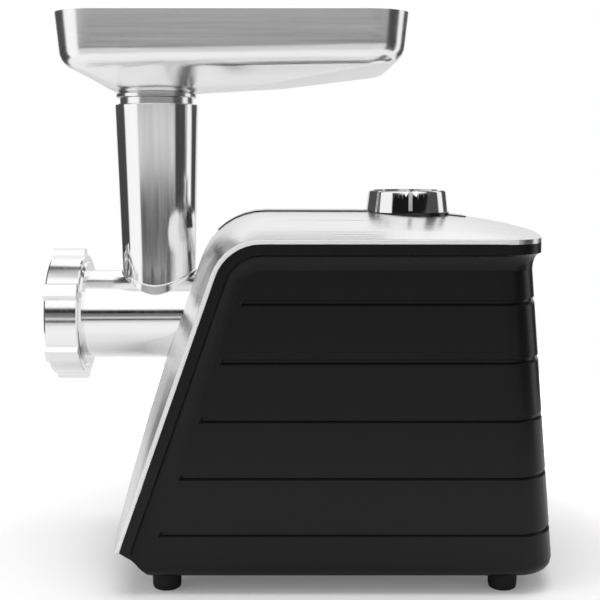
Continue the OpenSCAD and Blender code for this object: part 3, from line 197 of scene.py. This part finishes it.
def moulded(name, colour, rough, grain=1500.0, depth=0.25, lift=1.35, gloss=0.5):
    """Plastic or rubber with a fine sparked texture."""
    f = Finish(name)
    f.feed(Specular_IOR_Level=gloss)
    fine = f.noise(grain, detail=2.0)
    cloud = f.noise(9.0, detail=3.0)
    f.feed(Base_Color=f.tint(cloud, colour, tuple(min(1.0, c * lift) for c in colour)),
           Roughness=rough + 0.12 * (fine - 0.5) + 0.06 * (cloud - 0.5))
    f.bump(fine, depth, 0.06 * MM)
    return f


finishes = {
    "cover_metal": brushed("cover metal", 0.78, 0.25, (0.012, 1, 0.012), 700.0, 0.12, 0.02),
    "housing_black": moulded("satin black", shade(0.0035), 0.3, gloss=0.24),
    "strip_black": moulded("gloss black strip", shade(0.006), 0.07, 300.0, 0.02),
    "knob_chrome": polished("chrome", shade(0.88), 0.035, 0.02),
    "knob_black": moulded("gloss black", shade(0.008), 0.12, 400.0, 0.03),
    "marker_white": moulded("white inlay", shade(0.78), 0.3, lift=1.05),
    "foot_rubber": moulded("rubber", shade(0.010), 0.7, 800.0, 0.5, gloss=0.2),
    "head_aluminium": brushed("turned aluminium", 0.88, 0.11, (1, 0.03, 0.03), 420.0, 0.06, 0.02),
    "tray_aluminium": brushed("brushed tray", 0.88, 0.19, (0.02, 1, 1), 420.0, 0.3, 0.04),
    "plate_steel": brushed("ground steel", 0.55, 0.3, (0.05, 1, 0.05)),
    "auger_metal": polished("cast aluminium", shade(0.72), 0.3, 0.14),
    "washer_nylon": moulded("nylon", (0.78, 0.76, 0.7), 0.45, lift=1.06),
    "inner_plastic": moulded("inner plastic", shade(0.035), 0.5),
    "case_metal": polished("die cast", (0.5, 0.51, 0.53), 0.42, 0.2),
    "screw_steel": polished("zinc", shade(0.62), 0.3, 0.14),
    "bush_bronze": polished("bronze", (0.56, 0.4, 0.2), 0.36, 0.14),
    "shaft_steel": brushed("ground shaft", 0.5, 0.25, (1, 0.05, 0.05)),
    "gear_steel": polished("hobbed steel", (0.42, 0.42, 0.44), 0.34, 0.16),
    "gear_nylon": moulded("gear nylon", (0.74, 0.71, 0.6), 0.42, lift=1.08),
    "core_steel": brushed("stacked sheet", 0.34, 0.42, (1, 0.02, 0.02), 900.0, 0.8, 0.09),
    "copper_wire": brushed("wound copper", 0.4, 0.36, (1, 0.05, 0.05), 700.0, 0.8, 0.05),
    "carbon": moulded("carbon", shade(0.02), 0.6),
    "board_green": moulded("board lacquer", (0.015, 0.11, 0.04), 0.3, 900.0, 0.1),
    "capacitor_yellow": moulded("capacitor yellow", (0.6, 0.42, 0.06), 0.28, 500.0, 0.06, 1.1),
}

# The cover's rounded rim gets a painted highlight: its colour is a brighter grey and its surface rougher than
# the face.
RIM_R = 1.3 * MM
RIM_HIGHLIGHT_FADE = 0.4 * MM
cover = finishes["cover_metal"]
_, across, _ = cover.parts(cover.place)
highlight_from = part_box("top_cover")[1][1] - RIM_R
from_middle = cover.node("ShaderNodeMath", {"operation": "ABSOLUTE"}, across)
rim = from_middle.rise(highlight_from, highlight_from + RIM_HIGHLIGHT_FADE)
# Painted highlight: the rim's colour is raised to a bright grey and made matt.
cover.feed(Base_Color=cover.tint(rim, cover.fed("Base Color"), shade(0.96)),
           Roughness=cover.fed("Roughness").towards(0.62, rim))

copper = finishes["copper_wire"]
strands = copper.noise(700.0, (1, 0.05, 0.05))
copper.feed(Base_Color=copper.tint(strands, (0.42, 0.17, 0.06), (0.62, 0.29, 0.12)))

for name, piece in nodes.items():
    piece.data.materials.clear()
    piece.data.materials.append(finishes[slots[name]].material)


# ---- making pieces ----
def deselect():
    if bpy.context.object and bpy.context.object.mode != "OBJECT":
        bpy.ops.object.mode_set(mode="OBJECT")
    for o in bpy.context.selected_objects:
        o.select_set(False)


def pick(piece):
    deselect()
    piece.select_set(True)
    bpy.context.view_layer.objects.active = piece


def edit(piece, mode="VERT"):
    pick(piece)
    bpy.ops.object.mode_set(mode="EDIT")
    bpy.ops.mesh.select_mode(type=mode)
    bpy.ops.mesh.select_all(action="SELECT")


def done():
    bpy.ops.object.mode_set(mode="OBJECT")


def apply_all(piece):
    pick(piece)
    for modifier in list(piece.modifiers):
        bpy.ops.object.modifier_apply(modifier=modifier.name)


def ease_edges(piece, width, steps=2, angle=38.0):
    bevel = piece.modifiers.new("eased edges", "BEVEL")
    bevel.limit_method = "ANGLE"
    bevel.angle_limit = math.radians(angle)
    bevel.width = width
    bevel.segments = steps
    bevel.use_clamp_overlap = True
    apply_all(piece)


def finish_piece(piece, body, slot, smooth=34.0):
    pick(piece)
    bpy.ops.object.transform_apply(location=True, rotation=True, scale=True)
    bpy.ops.object.shade_smooth_by_angle(angle=math.radians(smooth))
    piece.data.materials.clear()
    piece.data.materials.append(finishes[slot].material)
    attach(piece, body)
    deselect()


def round_rim(piece, radius):
    """Rounds the edges of the piece's outermost side faces, as a pressed sheet's edge is."""
    slack = 0.02 * MM
    side = max(abs(v.co.y) for v in piece.data.vertices) - slack
    edit(piece, "EDGE")
    bpy.ops.mesh.select_all(action="DESELECT")
    done()
    for edge in piece.data.edges:
        edge.select = all(abs(piece.data.vertices[i].co.y) > side for i in edge.vertices)
    bpy.ops.object.mode_set(mode="EDIT")
    bpy.ops.mesh.bevel(offset=radius, segments=5, clamp_overlap=True)
    done()


MERGE = 0.004 * MM  # points closer than this are one
FLAT = math.radians(0.4)  # faces that meet at less than this are one


def dressed(name, ease=0.0, rim=0.0, body=None):
    """A copy of a CAD node with its triangles merged, its edges eased and its faces smoothed."""
    piece = bpy.data.objects.new(name + "_dressed", nodes[name].data.copy())
    bpy.context.scene.collection.objects.link(piece)
    edit(piece)
    bpy.ops.mesh.remove_doubles(threshold=MERGE)
    bpy.ops.mesh.dissolve_limited(angle_limit=FLAT)
    done()
    if rim:
        round_rim(piece, rim)
    if ease:
        ease_edges(piece, ease * MM)
    finish_piece(piece, body or home[name], slots[name])
    even = piece.modifiers.new("even shading", "WEIGHTED_NORMAL")
    even.keep_sharp = True
    even.weight = 80
    apply_all(piece)
    deselect()
    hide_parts(name)
    return piece


dressed("top_cover", 0.45, rim=RIM_R)
for name, ease in {"control_strip": 0.2, "housing_right": 0.35, "housing_left": 0.35, "base_plate": 0.3,
                   "food_tray": 0.25, "knob_shell": 0.3, "knob_bezel": 0.2}.items():
    dressed(name, ease)
barrel = dressed("head_barrel", 0.25)
for name, ease in {"feed_tube": 0.2, "ring_nut": 0.5, "auger": 0, "knife": 0.15, "cutting_plate": 0.2,
                   "release_button": 0.2, "feet": 0.3}.items():
    dressed(name, ease)

# The spring sits on the guide's floor, and the button presses it together.
spring = dressed("button_spring", body=home["button_guide"])
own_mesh(spring)


def ring_on(target, centre, radius, top):
    """A circle laid on the upper side of a piece, seen from above."""
    deselect()
    bpy.ops.mesh.primitive_circle_add(vertices=96, radius=radius, location=(*centre, top))
    ring = bpy.context.object
    drop = ring.modifiers.new("laid on", "SHRINKWRAP")
    drop.target = target
    drop.wrap_method = "PROJECT"
    drop.use_project_z = True
    drop.use_negative_direction = True
    drop.use_positive_direction = False
    apply_all(ring)
    return ring


BEAD_R = 0.55 * MM
SADDLE_R = 38.6 * MM  # the bead's line lies on this cylinder, which is flatter than the barrel
SADDLE_TOP = 29.4 * MM  # above the barrel's axis
FOOT_H = 4 * MM  # height of the tube's straight foot
BEAD_OUT, SKIRT_TOP_OUT, SKIRT_FOOT_OUT = 0.3 * MM, 0.15 * MM, 0.5 * MM  # how far each stands off the foot


def tube_weld():
    """The joint of feed tube and barrel: a low skirt round the tube's foot, with a thin bead on top of it."""
    low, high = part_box("feed_tube")
    barrel_low, barrel_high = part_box("head_barrel")
    axis = (barrel_low[2] + barrel_high[2]) / 2
    centre = ((low[0] + high[0]) / 2, 0.0)
    foot = max(math.hypot(v.co.x - centre[0], v.co.y) for v in nodes["feed_tube"].data.vertices
               if v.co.z < low[2] + FOOT_H)
    deselect()
    bpy.ops.mesh.primitive_cylinder_add(vertices=192, radius=SADDLE_R, depth=120 * MM,
                                        location=(centre[0], 0, axis + SADDLE_TOP - SADDLE_R),
                                        rotation=(0, math.pi / 2, 0))
    saddle = bpy.context.object
    bead = ring_on(saddle, centre, foot + BEAD_OUT, high[2])
    upper = ring_on(saddle, centre, foot + SKIRT_TOP_OUT, high[2])
    lower = ring_on(barrel, centre, foot + SKIRT_FOOT_OUT, high[2])
    bpy.data.objects.remove(saddle)
    pick(lower)
    upper.select_set(True)
    bpy.ops.object.join()
    skirt = bpy.context.object
    edit(skirt, "EDGE")
    bpy.ops.mesh.bridge_edge_loops()
    done()
    pick(bead)
    bpy.ops.object.convert(target="CURVE")
    bead.data.bevel_depth = BEAD_R
    bead.data.bevel_resolution = 3
    bpy.ops.object.convert(target="MESH")
    skirt.select_set(True)
    bpy.ops.object.join()
    weld = bpy.context.object
    weld.name = "tube_weld"
    edit(weld)
    bpy.ops.mesh.normals_make_consistent(inside=False)
    done()
    finish_piece(weld, home["feed_tube"], slots["feed_tube"], smooth=60.0)


tube_weld()


# ---- camera, floor and light ----
deselect()
cam = bpy.data.cameras.new("camera")
cam.lens = 68.46
cam.sensor_width = 36
DIP = math.radians(7.489)  # the camera looks down by this
camera = bpy.data.objects.new("camera", cam)
camera.location = (-0.00045, -0.7454, 0.26897)
camera.rotation_euler = (math.pi / 2 - DIP, 0, 0)
bpy.context.scene.collection.objects.link(camera)
bpy.context.scene.camera = camera

bpy.ops.mesh.primitive_circle_add(vertices=96, radius=0.68, fill_type="NGON", location=(0, 0, 0))
floor = bpy.context.object
floor.name = "floor"
paper = Finish("white paper", Base_Color=(0.86, 0.86, 0.86, 1), Roughness=0.9)
seen = paper.node("ShaderNodeLightPath", out="Is Camera Ray")
across, along, _ = paper.parts(paper.place)
away = paper.node("ShaderNodeMath", {"operation": "SQRT"}, across * across + along * along)
# The camera sees the paper fade to white away from the object. Near the object its glow is low, a painted shade
# that deepens the rendered contact shadow.
GLOW_IN_PAINTED_SHADE, GLOW_RISE, FADE_FROM, FADE_TO = 0.14, 0.9, 0.2, 0.42
paper.feed(Emission_Color=seen * (GLOW_IN_PAINTED_SHADE + GLOW_RISE * away.rise(FADE_FROM, FADE_TO)), Emission_Strength=1.0)
floor.data.materials.append(paper.material)

# The studio round the object: plain white for the camera and an even level for matt surfaces. Metal and
# gloss see its boxes and dark walls. Angles are in degrees, with 0 towards the front and + to the right.
bpy.context.scene.world = bpy.data.worlds.new("studio")
bpy.context.scene.world.use_nodes = True
studio = Graph(bpy.context.scene.world.node_tree)
x, y, z = studio.parts(studio.node("ShaderNodeTexCoord", out="Generated"))
turn = studio.node("ShaderNodeMath", {"operation": "ARCTAN2"}, x, y * -1.0) * (180 / math.pi)
height = studio.node("ShaderNodeMath", {"operation": "ARCSINE"}, z) * (180 / math.pi)
# Levels of the wall in front, from the floor up, and how much its two dark lines take away.
LOW, NEAR, UPPER, CEILING = 0.74, 0.2, 1.15, 0.62
LOW_LINE, NEAR_LINE = 0.66, 0.19
# Levels of the dark walls beside it at the same three heights.
LOW_SIDE, NEAR_SIDE, UPPER_SIDE = 0.06, 0.08, 0.12
# Levels of the boxes at the left and right, and of the wall behind below and above eye level.
LEFT_BOX, RIGHT_BOX = 1.05, 1.0
REAR, REAR_RISE = 0.72, 0.16
beside = turn.band(58, 150, 4) + turn.band(-150, -94, 4)
low = (LOW - LOW_LINE * height.band(-9.6, -4.5, 0.5)).towards(LOW_SIDE, beside)
near = (NEAR - NEAR_LINE * height.band(8.5, 15.5, 1)).towards(NEAR_SIDE, beside)
upper = UPPER + (UPPER_SIDE - UPPER) * beside
wall = low.towards(near, height.rise(-1.5, 1.5)).towards(upper, height.rise(16, 20))
wall = wall.towards(CEILING, height.rise(70, 80))
boxes = (LEFT_BOX * turn.band(-94, -48, 3) + RIGHT_BOX * turn.band(96, 120, 4)) * height.band(-40, 50, 4)
rear = (REAR + REAR_RISE * height.rise(-6, 6)) * (1 - turn.band(-152, 152, 5)) * height.band(-60, 70, 5)
gloss = wall.most(boxes).most(rear)
path = studio.node("ShaderNodeLightPath").socket.node
is_camera = Value(studio, path.outputs["Is Camera Ray"])
is_gloss = Value(studio, path.outputs["Is Glossy Ray"])
MATT = 0.5  # what matt surfaces are lit by
level = is_gloss * gloss + is_camera + (1 - is_gloss - is_camera) * MATT
studio.put(studio.tree.nodes["Background"].inputs["Strength"], level)
studio.put(studio.tree.nodes["Background"].inputs["Color"], (1, 1, 1, 1))


def softbox(name, place, aim, size, power):
    """A rectangular lamp that metal and gloss do not show."""
    lamp = bpy.data.lights.new(name, "AREA")
    lamp.shape = "RECTANGLE"
    lamp.size, lamp.size_y = size
    lamp.energy = power
    box = bpy.data.objects.new(name, lamp)
    box.location = place
    box.rotation_euler = (Vector(aim) - Vector(place)).to_track_quat("-Z", "Y").to_euler()
    box.visible_glossy = False
    bpy.context.scene.collection.objects.link(box)


middle = (0, 0, 0.17)
softbox("top box", (0.0, -0.1, 1.25), middle, (1.2, 0.9), 11)
softbox("left box", (-1.1, -0.45, 0.45), middle, (0.7, 1.2), 4)
softbox("right box", (1.1, 0.5, 0.5), middle, (0.7, 1.2), 3)

bpy.context.scene.view_settings.view_transform = "Standard"
